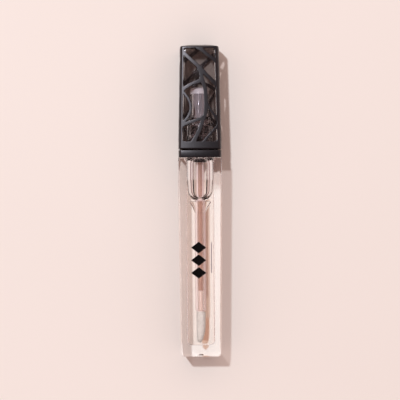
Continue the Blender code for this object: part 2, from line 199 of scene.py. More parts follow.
# The key lamp, in front of the tube at the upper left
KEY_DIRECTION = (-0.235, -0.93, 0.28)
KEY_DISTANCE = 1.5
KEY_SIZE = 0.075
KEY_WATTS = 13.8
KEY_COLOUR = (0.924, 0.900, 1.0)

# The camera: distance, height of its picture and shift from the tube's middle in metres, roll in degrees
CAMERA_DISTANCE = 0.70
CAMERA_FIELD = 0.160
CAMERA_SHIFT = (-0.0001, 0.00005)
CAMERA_ROLL = 0.37
SENSOR = 36.0


# ---------------------------------------------------------------- node helpers

def new_material(name):
    mat = bpy.data.materials.new(name)
    mat.use_nodes = True
    tree = mat.node_tree
    return mat, tree, tree.nodes["Principled BSDF"]


def object_noise(tree, scale, detail=3.0, rough=0.5):
    """Noise fixed to the object. The scale is in ripples per metre."""
    coords = tree.nodes.new("ShaderNodeTexCoord")
    noise = tree.nodes.new("ShaderNodeTexNoise")
    noise.inputs["Scale"].default_value = scale
    noise.inputs["Detail"].default_value = detail
    noise.inputs["Roughness"].default_value = rough
    tree.links.new(coords.outputs["Object"], noise.inputs["Vector"])
    return noise.outputs["Fac"]


def mapped(tree, value, low, high, from_low=0.3, from_high=0.7):
    """Stretch a range on to low to high. The default range is what noise mostly covers."""
    node = tree.nodes.new("ShaderNodeMapRange")
    node.inputs["From Min"].default_value = from_low
    node.inputs["From Max"].default_value = from_high
    node.inputs["To Min"].default_value = low
    node.inputs["To Max"].default_value = high
    tree.links.new(value, node.inputs["Value"])
    return node.outputs["Result"]


def ramp(tree, value, stops):
    """A colour ramp through (place, colour) stops."""
    node = tree.nodes.new("ShaderNodeValToRGB")
    elements = node.color_ramp.elements
    while len(elements) < len(stops):
        elements.new(0.5)
    for element, (place, colour) in zip(elements, stops):
        element.position = place
        element.color = (*colour, 1.0)
    tree.links.new(value, node.inputs["Fac"])
    return node.outputs["Color"]


def add_bump(tree, shader, height, distance):
    bump = tree.nodes.new("ShaderNodeBump")
    bump.inputs["Distance"].default_value = distance
    tree.links.new(height, bump.inputs["Height"])
    tree.links.new(bump.outputs["Normal"], shader.inputs["Normal"])


def plastic(name, dark, light, rough, grain=9000.0, bump_mm=0.004, ior=1.5, mottle=260.0):
    """Moulded plastic: slow colour drift, a fine skin and uneven gloss."""
    mat, tree, shader = new_material(name)
    drift = object_noise(tree, mottle, 4.0, 0.6)
    tree.links.new(ramp(tree, drift, [(0.3, dark), (0.7, light)]), shader.inputs["Base Color"])
    skin = object_noise(tree, grain, 2.0)
    tree.links.new(mapped(tree, skin, rough[0], rough[1]), shader.inputs["Roughness"])
    shader.inputs["IOR"].default_value = ior
    add_bump(tree, shader, skin, bump_mm * MM)
    return mat


def clear(name, tint, ior, rough, lets_light, ripple_mm=0.0, haze=None):
    """Clear plastic or liquid.

    lets_light is the share of red, green and blue light that shines through to what is behind. haze gives the
    transmission seen face on and at the edge.
    """
    mat, tree, shader = new_material(name)
    drift = object_noise(tree, 180.0, 3.0)
    deep = tuple(0.97 * c for c in tint)
    tree.links.new(ramp(tree, drift, [(0.3, deep), (0.7, tint)]), shader.inputs["Base Color"])
    tree.links.new(mapped(tree, object_noise(tree, 2400.0), rough[0], rough[1]), shader.inputs["Roughness"])
    shader.inputs["IOR"].default_value = ior
    shader.inputs["Transmission Weight"].default_value = 1.0
    if haze:
        weight = tree.nodes.new("ShaderNodeLayerWeight")
        weight.inputs["Blend"].default_value = 0.5
        edge = mapped(tree, weight.outputs["Facing"], haze[0], haze[1], 0.12, 0.32)
        tree.links.new(edge, shader.inputs["Transmission Weight"])
    if ripple_mm:
        add_bump(tree, shader, object_noise(tree, 130.0, 1.0), ripple_mm * MM)
    light_passes(tree, shader, lets_light)
    return mat


def light_passes(tree, shader, share):
    """Let a share of the light that falls on a surface go straight on to what is behind it. A share above one
    adds light there.
    """
    through = tree.nodes.new("ShaderNodeBsdfTransparent")
    through.inputs["Color"].default_value = (*share, 1.0)
    rays = tree.nodes.new("ShaderNodeLightPath")
    mix = tree.nodes.new("ShaderNodeMixShader")
    either = tree.nodes.new("ShaderNodeMath")
    either.operation = "MAXIMUM"
    tree.links.new(rays.outputs["Is Shadow Ray"], either.inputs[0])
    tree.links.new(rays.outputs["Is Diffuse Ray"], either.inputs[1])
    tree.links.new(either.outputs["Value"], mix.inputs["Fac"])
    tree.links.new(shader.outputs["BSDF"], mix.inputs[1])
    tree.links.new(through.outputs["BSDF"], mix.inputs[2])
    tree.links.new(mix.outputs["Shader"], tree.nodes["Material Output"].inputs["Surface"])


# ---------------------------------------------------------------- mesh helpers

def finish_mesh(name, bm, mats, angle=30.0):
    """Make an object in metres from a bmesh in millimetres, smooth but for its sharp edges."""
    bmesh.ops.remove_doubles(bm, verts=bm.verts, dist=1e-5)
    bmesh.ops.recalc_face_normals(bm, faces=bm.faces)
    if bm.calc_volume(signed=True) < 0:
        bmesh.ops.reverse_faces(bm, faces=bm.faces)
    bmesh.ops.scale(bm, vec=(MM, MM, MM), verts=bm.verts)
    mesh = bpy.data.meshes.new(name)
    bm.to_mesh(mesh)
    bm.free()
    for mat in mats:
        mesh.materials.append(mat)
    mesh.shade_smooth()
    mesh.set_sharp_from_angle(angle=math.radians(angle))
    obj = bpy.data.objects.new(name, mesh)
    bpy.context.scene.collection.objects.link(obj)
    return obj


def square_loop(half, radius, z, bow=0.0):
    """A rounded square. Its sides bow out in the middle, where they are a half width from the axis."""
    flat, lean = half - bow - radius, 0.0
    for _ in range(3):
        lean = math.atan2(2 * bow, flat)
        flat = half - bow - radius * math.cos(lean) + radius * math.sin(lean)
    centre = half - bow - radius * math.cos(lean)
    points = []
    for quarter in range(4):
        a0 = math.radians(90 * quarter)
        out, along = (math.cos(a0), math.sin(a0)), (-math.sin(a0), math.cos(a0))
        for k in range(1, FLAT_POINTS + 1):
            s = flat * (2 * k / (FLAT_POINTS + 1) - 1)
            d = half - bow * (s / flat) ** 2
            points.append((d * out[0] + s * along[0], d * out[1] + s * along[1], z))
        cx, cy = centre * (out[0] + along[0]), centre * (out[1] + along[1])
        for k in range(CORNER_STEPS + 1):
            a = a0 + lean + (math.pi / 2 - 2 * lean) * k / CORNER_STEPS
            points.append((cx + radius * math.cos(a), cy + radius * math.sin(a), z))
    return points


def round_loop(radius, z, count=96):
    return [
        (radius * math.cos(2 * math.pi * k / count), radius * math.sin(2 * math.pi * k / count), z)
        for k in range(count)
    ]


def matched_round_loop(radius, z):
    """A circle with as many points as square_loop, starting from the same corner."""
    count = 4 * (CORNER_STEPS + 1 + FLAT_POINTS)
    turn = math.radians(-45) + math.pi / count
    angles = [2 * math.pi * k / count + turn for k in range(count)]
    return [(radius * math.cos(a), radius * math.sin(a), z) for a in angles]


def loft(name, loops, mats, ends="capped", angle=30.0, slot_of=None):
    """Skin the loops in turn. slot_of gives the material slot for the band that starts at a loop."""
    bm = bmesh.new()
    rings = [[bm.verts.new(p) for p in loop] for loop in loops]
    pairs = list(zip(rings, rings[1:]))
    if ends == "joined":
        pairs.append((rings[-1], rings[0]))
    for band, (lower, upper) in enumerate(pairs):
        for k in range(len(lower)):
            n = (k + 1) % len(lower)
            face = bm.faces.new((lower[k], lower[n], upper[n], upper[k]))
            face.material_index = slot_of(band) if slot_of else 0
    if ends == "capped":
        for ring, band in ((rings[0], 0), (rings[-1], len(pairs) - 1)):
            face = bm.faces.new(ring)
            face.material_index = slot_of(band) if slot_of else 0
    return finish_mesh(name, bm, mats, angle)


def rounded(profile, radius=0.12, steps=4):
    """Round a profile's corners. The first and last points stay."""
    out = [Vector(profile[0])]
    for before, here, after in zip(profile, profile[1:], profile[2:]):
        before, here, after = Vector(before), Vector(here), Vector(after)
        a, b = before - here, after - here
        cut = min(radius, 0.45 * a.length, 0.45 * b.length)
        p, q = here + a.normalized() * cut, here + b.normalized() * cut
        for k in range(steps + 1):
            t = k / steps
            out.append((1 - t) ** 2 * p + 2 * t * (1 - t) * here + t * t * q)
    out.append(Vector(profile[-1]))
    return [tuple(p) for p in out]


def lathe(name, profile, mats, closed=True, soften=0.12, count=96, angle=30.0):
    """Turn (radius, height) pairs round the axis. A closed profile is a ring's section."""
    if closed:
        around = rounded([profile[-1], *profile, profile[0]], soften)[1:-1]
        return loft(name, [round_loop(r, z, count) for r, z in around], mats, "joined", angle)
    loops = [round_loop(max(r, 0.02), z, count) for r, z in rounded(profile, soften)]
    return loft(name, loops, mats, "capped", angle)


def arc(cx, cz, radius, start, stop, steps=10):
    """Points on part of a circle in a profile, with angles in degrees."""
    turns = [math.radians(start + (stop - start) * k / steps) for k in range(steps + 1)]
    return [(cx + radius * math.cos(a), cz + radius * math.sin(a)) for a in turns]


def smooth_line(knots, pieces=8):
    """Catmull-Rom points through the knots."""
    pts = [Vector(p) for p in knots]
    pts = [2 * pts[0] - pts[1], *pts, 2 * pts[-1] - pts[-2]]
    out = []
    for i in range(1, len(pts) - 2):
        p0, p1, p2, p3 = pts[i - 1 : i + 3]
        for k in range(pieces):
            t = k / pieces
            out.append(
                0.5 * (2 * p1 + (p2 - p0) * t + (2 * p0 - 5 * p1 + 4 * p2 - p3) * t**2
                       + (3 * p1 - p0 - 3 * p2 + p3) * t**3)
            )
    out.append(pts[-2])
    return out


def boolean(obj, other, operation):
    """Apply one exact Boolean and throw the other object away."""
    mod = obj.modifiers.new(operation, "BOOLEAN")
    mod.operation = operation
    mod.solver = "EXACT"
    mod.object = other
    bake_modifiers(obj)
    bpy.data.objects.remove(other, do_unlink=True)


def bake_modifiers(obj):
    """Put the object's modifiers into its mesh for good."""
    depsgraph = bpy.context.evaluated_depsgraph_get()
    mesh = bpy.data.meshes.new_from_object(obj.evaluated_get(depsgraph))
    obj.modifiers.clear()
    obj.data = mesh


def join(obj, other):
    """Put another object's mesh into the first one's, with the same material slots, as a second shell."""
    bm = bmesh.new()
    bm.from_mesh(obj.data)
    bm.from_mesh(other.data)
    bm.to_mesh(obj.data)
    bm.free()
    bpy.data.objects.remove(other, do_unlink=True)


def thread_rib(root_r, crest_r, start, turns, steps=96):
    """A helical rib that runs out at both ends, as a loose solid."""
    sign = math.copysign(1, crest_r - root_r)
    bm = bmesh.new()
    rings = []
    total = int(steps * turns)
    for i in range(total + 1):
        a = 2 * math.pi * i / steps
        z = start + THREAD_PITCH * i / steps
        fade = min(1.0, 4 * i / steps, 4 * (total - i) / steps)
        tip = root_r + (crest_r - root_r) * fade - 0.05 * sign * (1 - fade)
        section = [(root_r - 0.2 * sign, -0.52), (tip - 0.06 * sign, -0.24), (tip, -0.14), (tip, 0.14),
                   (tip - 0.06 * sign, 0.24), (root_r - 0.2 * sign, 0.52)]
        rings.append([bm.verts.new((r * math.cos(a), r * math.sin(a), z + dz)) for r, dz in section])
    for lower, upper in zip(rings, rings[1:]):
        for k in range(len(lower)):
            n = (k + 1) % len(lower)
            bm.faces.new((lower[k], lower[n], upper[n], upper[k]))
    bm.faces.new(rings[0])
    bm.faces.new(rings[-1])
    return finish_mesh("rib", bm, [])


def place(obj, body, slot, *nodes):
    """Tie a piece to its body and hide the nodes that it takes the place of. The slot is not used."""
    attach(obj, body)
    if nodes:
        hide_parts(*nodes)
    return obj


# ---------------------------------------------------------------- bottle and gloss

def half_at(z):
    """The bottle's half width at a height."""
    if z < HEEL_TOP:
        return HEEL_HALF - (HEEL_HALF - BASE_HALF) * (1 - z / HEEL_TOP) ** 1.5
    return HEEL_HALF + (SHOULDER_HALF - HEEL_HALF) * min((z - HEEL_TOP) / (TAPER_TOP - HEEL_TOP), 1.0)


def build_bottle():
    """The clear square bottle with its round well and open mouth.

    The lamp's light comes in through the front and left, and out at the back. The far side and the base pass
    less of it, as they throw most of it back inside.
    """
    clean = (0.996, 0.996, 0.994)
    smooth = (0.0, 0.015)
    # The front and back faces pass more light than falls on them: added light that stands in for the light the
    # side walls focus on the surface behind.
    outside_lets = [
        ("clear_petg", (1.33, 1.33, 1.33)), ("clear_petg_left", (0.55, 0.51, 0.49)),
        ("clear_petg_far", (0.34, 0.30, 0.29)), ("clear_petg_base", (0.16, 0.14, 0.14)),
    ]
    mats = [clear(name, clean, PETG_IOR, smooth, lets, ripple_mm=0.006) for name, lets in outside_lets]
    mats.append(clear("clear_petg_well", clean, PETG_IOR, smooth, (0.80, 0.75, 0.73)))
    mats.append(clear("clear_petg_wetted", clean, PETG_IOR / GLOSS_IOR, smooth, (0.98, 0.97, 0.96)))
    FACE, LEFT, FAR, BASE, WELL, WETTED = range(6)
    foot_r, rim_r, less_corner = 0.7, 0.45, 0.3
    loops = [square_loop(half_at(0) - 1.0, CORNER_R - 0.5, 0.0)]
    for x, z in arc(BASE_HALF - foot_r, foot_r, foot_r, -90, 0, 8)[1:]:
        loops.append(square_loop(x, CORNER_R - less_corner + less_corner * z / foot_r, z))
    for z in (1.6, 2.8, 4, 5.5, HEEL_TOP, 12, 24, 36, 48, 60, TAPER_TOP, BOTTLE_TOP - 0.6):
        loops.append(square_loop(half_at(z), CORNER_R, z))
    for x, z in arc(SHOULDER_HALF - rim_r, BOTTLE_TOP - rim_r, rim_r, 0, 90, 6):
        loops.append(square_loop(x, CORNER_R - less_corner * (z - BOTTLE_TOP + rim_r) / rim_r, z))
    outer_loops = len(loops)
    mouth = [(MOUTH_R + 0.15, BOTTLE_TOP), (MOUTH_R, BOTTLE_TOP - 0.12)]
    mouth += [(CAVITY_R + 0.05, BOTTLE_TOP - MOUTH_DEPTH + 0.1), (CAVITY_R, BOTTLE_TOP - MOUTH_DEPTH - 0.3)]
    cavity = [(CAVITY_R, FILM_TOP), (CAVITY_R, 40.0), (CAVITY_R, 20.0)]
    cavity += arc(CAVITY_R - WELL_FILLET, CAVITY_FLOOR + WELL_FILLET, WELL_FILLET, 0, -90, 12)
    cavity += [(2.0, CAVITY_FLOOR - 0.02), (0.3, CAVITY_FLOOR - 0.03)]
    wetted_from = outer_loops + len(mouth)
    loops += [matched_round_loop(r, z) for r, z in mouth + cavity]
    bottle = loft(
        "bottle_clear", loops, mats, angle=40.0,
        slot_of=lambda band: FACE if band < outer_loops else WETTED if band >= wetted_from else WELL,
    )
    for polygon in bottle.data.polygons:
        if polygon.material_index == FACE and abs(polygon.normal.y) < SIDE_LIMIT:
            down = polygon.normal.z < -0.5
            polygon.material_index = BASE if down else LEFT if polygon.normal.x < -SIDE_LIMIT else FAR
    gate_r, gate_top = 1.6, 1.0
    gate = lathe(
        "gate", [(0, -0.2), (gate_r, -0.2), (1.5, 0.1), (1.25, 0.6), (0.65, 0.92), (0, gate_top)], [],
        closed=False, soften=0.2, count=48,
    )
    boolean(bottle, gate, "DIFFERENCE")
    for polygon in bottle.data.polygons:
        x, y, z = polygon.center
        if z < (gate_top + 0.1) * MM and math.hypot(x, y) < gate_r * MM:
            polygon.material_index = BASE
    return place(bottle, BOTTLE_BODY, "clear_petg", "bottle")


def build_gloss():
    """The liquid: a cup-shaped surface below the air, and a funnel of air that the wand drew down with it.

    Its side and floor bend no light, because the bottle's wetted faces already do.
    """
    tint = (0.99, 0.95, 0.925)
    surface = clear("gloss_surface", tint, GLOSS_IOR, (0.0, 0.01), (0.95, 0.92, 0.90))
    side = clear("gloss_side", tint, 1.0, (0.0, 0.004), (0.99, 0.97, 0.95))
    drawn_in = clear("gloss_drawn_air", tint, 1.09, (0.02, 0.06), (0.97, 0.95, 0.93))
    mats = [side, surface, drawn_in]
    SIDE, SURFACE, DRAWN_IN = range(3)
    gap = 0.02
    r, floor = CAVITY_R - gap, CAVITY_FLOOR + gap
    wall = [(0.02, floor), (2.0, floor)]
    wall += arc(r - WELL_FILLET, floor + WELL_FILLET, WELL_FILLET, -90, 0, 12)
    wall += [(r, 20.0), (r, 40.0), (r, FILM_TOP - 0.05)]
    cup_r, low = 4.5, GLOSS_TOP - 0.25
    cup_z = low + 4.23
    top = [(r - 0.03, FILM_TOP), (r - 0.14, FILM_TOP - 1.2), (5.32, FILM_TOP - 2.6)]
    top += arc(5.25 - cup_r, cup_z, cup_r, 0, -70, 18)
    top += [(STEM_R - 0.02, low - 0.02)]
    hidden = [(STEM_R - 0.2, low - 0.03), (0.02, low - 0.03)]
    loops = [round_loop(x, z, 144) for x, z in wall + top + hidden]
    last = len(wall) + len(top) - 1
    gloss = loft(
        "gloss_liquid", loops, mats, angle=50.0,
        slot_of=lambda band: SURFACE if len(wall) <= band < last else SIDE,
    )
    skin = low - 0.25
    funnel = [
        (0, skin), (4.3, skin + 0.02), (4.75, skin - 0.15), (4.6, skin - 0.6), (4.1, skin - 1.3),
        (3.4, skin - 2.2), (2.85, skin - 3.1), (2.5, skin - 4.0), (STEM_R - 0.1, skin - 4.6), (0, skin - 4.7),
    ]
    pocket = lathe("pocket", funnel[::-1], mats, closed=False, soften=0.25, count=144, angle=50.0)
    for polygon in pocket.data.polygons:
        polygon.material_index = DRAWN_IN
    pocket.data.flip_normals()
    join(gloss, pocket)
    gloss.visible_shadow = gloss.visible_diffuse = False
    return place(gloss, BOTTLE_BODY, "gloss", "gloss_fill")


def build_print():
    """A plain printed motif on the front face: three lozenges and a hairline, a little proud of the face."""
    ink = plastic("print_black", (0.002,) * 3, (0.004,) * 3, (0.1, 0.2), bump_mm=0.0, ior=1.3)
    grey = plastic("print_grey", (0.22, 0.20, 0.20), (0.3, 0.28, 0.27), (0.4, 0.5), bump_mm=0.001)

    def flat_shape(name, outline, mat):
        bm = bmesh.new()
        rings = []
        for depth in (PRINT_LIFT, PRINT_LIFT + PRINT_THICK):
            rings.append([bm.verts.new((x, -half_at(z) - depth, z)) for x, z in outline])
        for ring in rings:
            bm.faces.new(ring)
        for k in range(len(outline)):
            n = (k + 1) % len(outline)
            bm.faces.new((rings[0][k], rings[0][n], rings[1][n], rings[1][k]))
        shape = finish_mesh(name, bm, [mat])
        shape.visible_shadow = False
        return place(shape, BOTTLE_BODY, "charcoal_gloss")

    x, wide, high = LOZENGE_X, LOZENGE_HALF_WIDE, LOZENGE_HALF_HIGH
    for i in range(LOZENGES):
        z = LOZENGE_Z + LOZENGE_PITCH * i
        flat_shape(f"print_lozenge_{i}", [(x, z - high), (x + wide, z), (x, z + high), (x - wide, z)], ink)
    (left, right), (low, top) = HAIRLINE_X, HAIRLINE_Z
    flat_shape("print_hairline", [(left, low), (right, low), (right, top), (left, top)], grey)


# ---------------------------------------------------------------- neck parts

def build_collar():
    """The collar with the threaded neck above it and a spigot down in the bottle's mouth."""
    mat = plastic("charcoal_moulded", *CHARCOAL, (0.23, 0.30), bump_mm=0.003, ior=1.46)
    ring = SHOULDER_HALF - 0.02
    low = BOTTLE_TOP - MOUTH_DEPTH + 0.05
    loops = [
        matched_round_loop(NECK_BORE_R, low + 0.1),
        matched_round_loop(NECK_BORE_R + 0.1, low),
        matched_round_loop(CAVITY_R - 0.5, low),
        matched_round_loop(CAVITY_R - 0.4, low + 0.1),
        matched_round_loop(MOUTH_R - 0.14, COLLAR_BOTTOM - 0.04),
        matched_round_loop(MOUTH_R, COLLAR_BOTTOM),
    ]
    edge = 0.28
    for x, z in arc(ring - edge, COLLAR_BOTTOM + edge, edge, -90, 0, 6):
        loops.append(square_loop(x, CORNER_R, z, SIDE_BOW))
    for x, z in arc(ring - edge, COLLAR_TOP - edge, edge, 0, 90, 6):
        loops.append(square_loop(x, CORNER_R, z, SIDE_BOW))
    loops += [
        matched_round_loop(NECK_ROOT_R + 0.5, COLLAR_TOP),
        matched_round_loop(NECK_ROOT_R + 0.1, COLLAR_TOP + 0.12),
        matched_round_loop(NECK_ROOT_R, COLLAR_TOP + 0.5),
        matched_round_loop(NECK_ROOT_R, NECK_TOP - 0.3),
        matched_round_loop(NECK_ROOT_R - 0.08, NECK_TOP - 0.08),
        matched_round_loop(NECK_ROOT_R - 0.3, NECK_TOP),
        matched_round_loop(NECK_BORE_R + 0.08, NECK_TOP),
        matched_round_loop(NECK_BORE_R, NECK_TOP - 0.08),
    ]
    collar = loft("neck_collar_moulded", loops, [mat], "joined", angle=MOULDED_SHARP)
    boolean(collar, thread_rib(NECK_ROOT_R, NECK_CREST_R, THREAD_START, 2.25), "UNION")
    collar.data.shade_smooth()
    collar.data.set_sharp_from_angle(angle=math.radians(MOULDED_SHARP))
    return place(collar, BOTTLE_BODY, "charcoal_gloss", "neck_collar")


def build_wiper():
    mat = plastic("natural_ldpe", (0.78, 0.77, 0.74), (0.86, 0.85, 0.82), (0.35, 0.5))
    rim_r, rim_low, rim_high, bore_r = NECK_ROOT_R - 0.1, NECK_TOP + 0.02, NECK_TOP + 0.45, 2.75
    profile = [
        (WIPER_LIP_R, WIPER_BOTTOM), (WIPER_LIP_R + 0.35, WIPER_BOTTOM), (WIPER_R, WIPER_BOTTOM + 1.6),
        (WIPER_R, rim_low), (rim_r, rim_low), (rim_r, rim_high), (2.9, rim_high), (bore_r, NECK_TOP - 0.2),
        (bore_r, WIPER_BOTTOM + 2.4), (WIPER_LIP_R, WIPER_BOTTOM + 0.5),
    ]
    return place(lathe("wiper_insert", profile, [mat], soften=0.1), BOTTLE_BODY, "natural_ldpe", "wiper")


def build_seal():
    mat = plastic("white_foam", (0.72, 0.71, 0.68), (0.86, 0.85, 0.82), (0.7, 0.85), grain=4200, bump_mm=0.02)
    low, high, inner_r, outer_r = NECK_TOP + 0.5, NECK_TOP + 1.02, 2.4, 3.7
    profile = [(inner_r, low), (outer_r, low), (outer_r, high), (inner_r, high)]
    return place(lathe("neck_seal_ring", profile, [mat], soften=0.1), SEAL_BODY, "white_foam", "neck_seal")


# ---------------------------------------------------------------- wand

def build_plug():
    # The plug is pale plastic drawn mid grey: the darkening is painted shade for the shade inside the cap
    # where it sits.
    mat = plastic("grey_pp", (0.50, 0.49, 0.50), (0.62, 0.61, 0.62), (0.18, 0.28))
    r, low, seat = STEM_BORE_R - 0.04, 84.0, STEM_TOP + 0.03
    profile = [
        (0, low), (r - 0.3, low), (r, low + 0.5), (r, seat), (PLUG_FLANGE_R, seat),
        (PLUG_FLANGE_R, seat + 1.1), (PLUG_R + 0.3, seat + 1.5), (PLUG_R, seat + 1.9),
        (PLUG_R, PLUG_TOP - 0.4), (PLUG_R - 0.4, PLUG_TOP), (0, PLUG_TOP),
    ]
    return place(lathe("wand_plug_moulded", profile, [mat], closed=False), CAP_BODY, "grey_pp", "wand_plug")


def build_stem():
    """The hollow stem, frosted on the outside. The tip's peg fills the end of its bore."""
    tint, shade = (0.985, 0.94, 0.91), (0.78, 0.70, 0.66)
    frosted, moulded = (0.10, 0.16), (0.05, 0.10)
    mats = [
        clear("stem_in_air", tint, STEM_IOR, frosted, shade, haze=(0.9, 0.15)),
        clear("stem_in_gloss", tint, STEM_IOR / GLOSS_IOR, frosted, shade, haze=(0.94, 0.5)),
        # The bore's brown is partly the stem's own tint and partly painted shade: it darkens the core where
        # the stem's shadow is seen through it.
        clear("stem_bore", (0.62, 0.44, 0.35), STEM_IOR, moulded, (0.55, 0.45, 0.40), haze=(0.6, 0.55)),
        clear("stem_socket", (0.99, 0.97, 0.95), STEM_IOR, moulded, (0.8, 0.75, 0.7), haze=(0.97, 0.9)),
    ]
    IN_AIR, IN_GLOSS, BORE, SOCKET = range(4)
    outside = [
        (STEM_BORE_R + 0.12, STEM_BOTTOM), (STEM_R - 0.22, STEM_BOTTOM), (STEM_R - 0.06, STEM_BOTTOM + 0.08),
        (STEM_R, STEM_BOTTOM + 0.3), (STEM_R, 38.0), (STEM_R, GLOSS_TOP - 0.2),
        (STEM_R, 78.0), (STEM_R, STEM_TOP - 0.1), (STEM_R - 0.1, STEM_TOP),
    ]
    inside = [
        (STEM_BORE_R + 0.08, STEM_TOP), (STEM_BORE_R, STEM_TOP - 0.1), (STEM_BORE_R, 60.0),
        (STEM_BORE_R, 30.0), (STEM_BORE_R, PEG_TOP + 0.05), (STEM_BORE_R, STEM_BOTTOM + 0.12),
    ]

    peg_from = len(outside) + 4

    def slot_of(band):
        if band >= len(outside):
            return SOCKET if band >= peg_from else BORE
        return IN_GLOSS if outside[band][1] < GLOSS_TOP - 0.5 else IN_AIR

    loops = [round_loop(r, z, 72) for r, z in outside + inside]
    stem = loft("wand_stem_hollow", loops, mats, "joined", slot_of=slot_of)
    return place(stem, CAP_BODY, "frosted_pp", "wand_stem")


def tip_row(z, margin):
    """The slanted tip's section at a height, drawn in by a margin: left, right, depth."""
    above = max(i for i in range(len(TIP_ROWS) - 1) if TIP_ROWS[i][0] >= z)
    a, b = TIP_ROWS[above], TIP_ROWS[above + 1]
    t = (a[0] - z) / (a[0] - b[0])
    slanted = 5.5 < z < 12
    t = t * t * (3 - 2 * t) if slanted else t
    left, right, depth = (a[k] + (b[k] - a[k]) * t for k in (1, 2, 3))
    inner = min(margin, 0.45 * (right - left) / 2, 0.45 * depth)
    return left + inner, right - inner, depth - inner


def tip_point(z, turn, margin):
    """The point of that section at an angle round it."""
    left, right, depth = tip_row(z, margin)
    return Vector(((left + right) / 2 + (right - left) / 2 * math.cos(turn), depth * math.sin(turn), z))


def tip_loop(z, margin, count):
    return [tuple(tip_point(z, 2 * math.pi * k / count, margin)) for k in range(count)]


def build_tip():
    """The moulded core with its peg, the flocked bed over it, and the fibres that stand on the bed."""
    core_mat = plastic("natural_pe", (0.88, 0.90, 0.86), (0.93, 0.95, 0.92), (0.35, 0.5))
    core_end, near_top, bed_top = TIP_END + 0.7, 17.55, TIP_ROWS[0][0]
    core = [tip_loop(core_end + (near_top - core_end) * i / 13, 0.6, 48) for i in range(14)]
    core += [round_loop(r, z, 48) for r, z in [
        (1.5, 17.62), (1.5, STEM_BOTTOM - 0.06), (PEG_R, STEM_BOTTOM), (PEG_R, PEG_TOP - 0.5),
        (PEG_R - 0.12, PEG_TOP - 0.2), (PEG_R - 0.4, PEG_TOP),
    ]]
    tip_core = loft("tip_core_moulded", core, [core_mat])
    tip_core.visible_shadow = False
    place(tip_core, CAP_BODY, "natural_pe", "tip_core")

    felt = plastic(
        "flock_bed", (0.53, 0.56, 0.50), (0.68, 0.73, 0.66), (0.85, 0.95),
        grain=5200, bump_mm=0.05, mottle=900,
    )
    shader = felt.node_tree.nodes["Principled BSDF"]
    shader.inputs["Sheen Weight"].default_value = 0.4
    light_passes(felt.node_tree, shader, (0.80, 0.66, 0.58))
    heights = [bed_top - (bed_top - TIP_END) * (i / 36) ** 0.9 for i in range(37)]
    outside = [tip_loop(z, 0.22, 64) for z in heights[::-1]]
    inside = [tip_loop(z, 0.5, 64) for z in (bed_top, 14.0, 9.0)]
    bed = loft("tip_flock_bed", outside + inside, [felt], angle=60)
    place(bed, CAP_BODY, "flock_fibre", "tip_flock")

    fibre = plastic(
        "flock_fibre", (0.60, 0.64, 0.58), (0.77, 0.83, 0.76), (0.6, 0.8), mottle=2600, bump_mm=0.0
    )
    spread, thirds = 0.35, (0, 2.1, 4.2)
    rng = random.Random(11)
    bm = bmesh.new()
    for _ in range(FIBRES):
        z = rng.uniform(TIP_END + 0.05, near_top)
        turn = rng.uniform(0, 2 * math.pi)
        root, crown = tip_point(z, turn, 0.26), tip_point(z, turn, 0.0)
        sway = Vector((rng.gauss(0, spread), rng.gauss(0, spread), rng.gauss(-0.2, spread)))
        out = ((crown - root).normalized() + sway).normalized()
        side = out.cross(Vector((0, 0, 1))).normalized()
        other = out.cross(side)
        width, length = rng.uniform(0.016, 0.026), rng.uniform(0.2, 0.34)
        base = [bm.verts.new(root + width * (side * math.cos(a) + other * math.sin(a))) for a in thirds]
        tip = bm.verts.new(root + out * length)
        for k in range(3):
            bm.faces.new((base[k], base[(k + 1) % 3], tip))
        bm.faces.new(base)
    fibres = finish_mesh("tip_flock_fibres", bm, [fibre], angle=80)
    fibres.visible_shadow = False
    place(fibres, CAP_BODY, "flock_fibre")


# ---------------------------------------------------------------- cap

